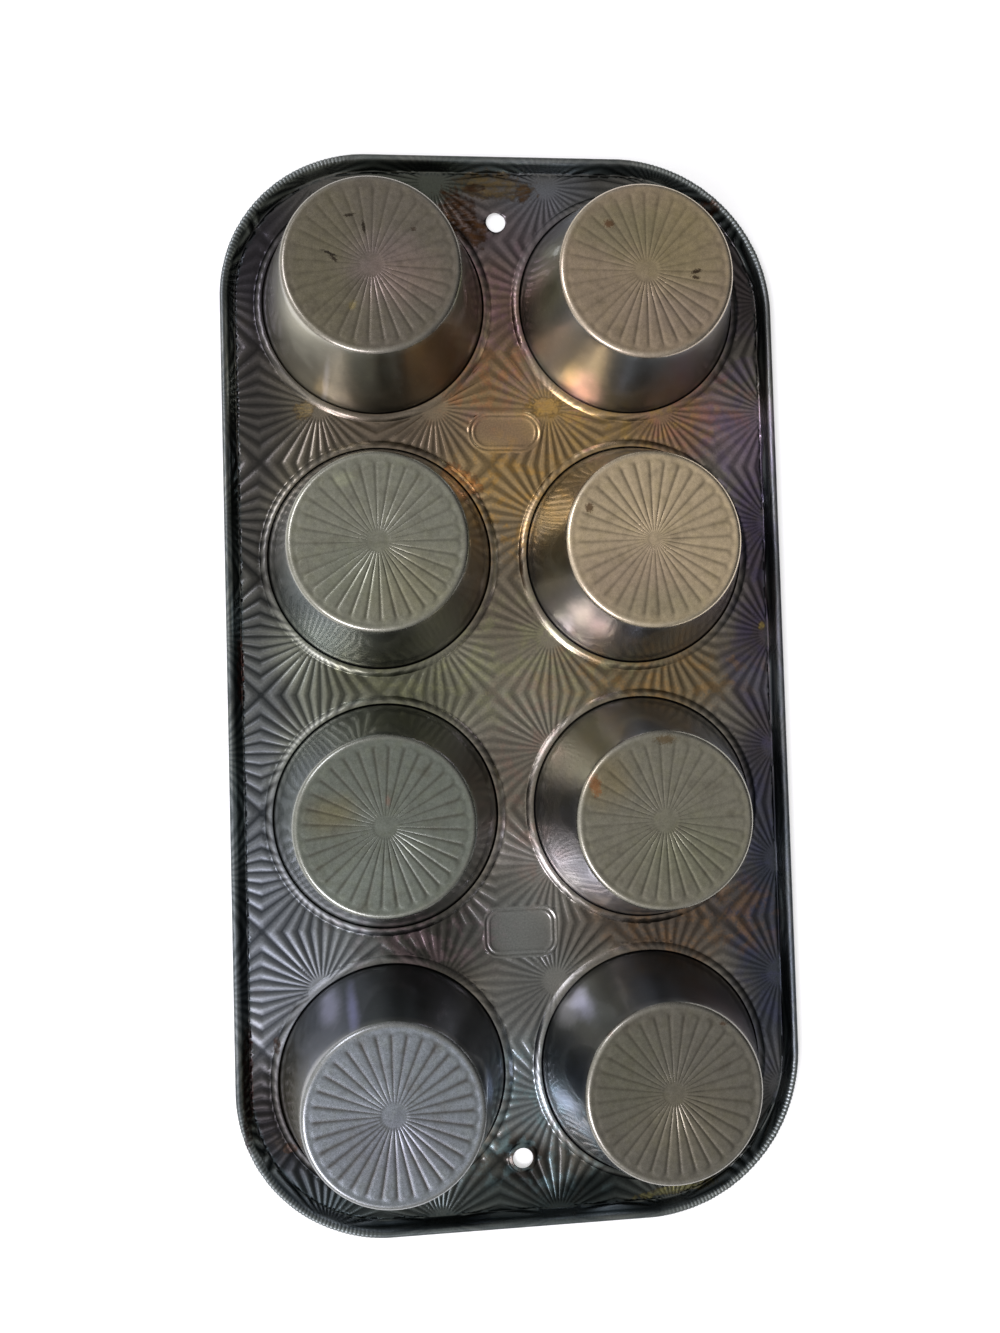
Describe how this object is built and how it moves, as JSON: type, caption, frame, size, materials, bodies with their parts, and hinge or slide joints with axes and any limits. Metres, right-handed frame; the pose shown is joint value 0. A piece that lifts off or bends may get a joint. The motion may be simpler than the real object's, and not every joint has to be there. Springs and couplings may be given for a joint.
{
  "type": "muffin pan",
  "caption": "Muffin pan of old tinned steel: round tapered cups drawn and seated in a rounded rectangular sheet with raised rings, hanging holes and a rolled rim over a wire.",
  "frame": {"origin": "centre of the pan at the level of the sheet's mouth side, on which the pictured pan lies", "axes": "+Z out of the closed cup ends, +Y along the four rows of cups, +X across the two columns"},
  "size_m": [0.1848, 0.353, 0.03],
  "materials": {
    "pan_sheet": "aged tin plate, embossed, dark grey with brown and violet heat tint",
    "cup_left_1": "aged tin plate, taupe grey, satin",
    "cup_left_2": "aged tin plate, taupe grey, satin",
    "cup_left_3": "aged tin plate, taupe grey, satin",
    "cup_left_4": "aged tin plate, bluish grey, satin",
    "cup_right_1": "aged tin plate, taupe grey, satin",
    "cup_right_2": "aged tin plate, beige grey, satin",
    "cup_right_3": "aged tin plate, taupe grey, satin",
    "cup_right_4": "aged tin plate, taupe grey with rust brown marks, satin",
    "rim_wire": "dull steel wire"
  },
  "bodies": {
    "root": {"pan_sheet": "pan_sheet", "cup_left_1": "cup_left_1", "cup_left_2": "cup_left_2", "cup_left_3": "cup_left_3", "cup_left_4": "cup_left_4", "cup_right_1": "cup_right_1", "cup_right_2": "cup_right_2", "cup_right_3": "cup_right_3", "cup_right_4": "cup_right_4", "rim_wire": "rim_wire"}
  },
  "joints": []
}
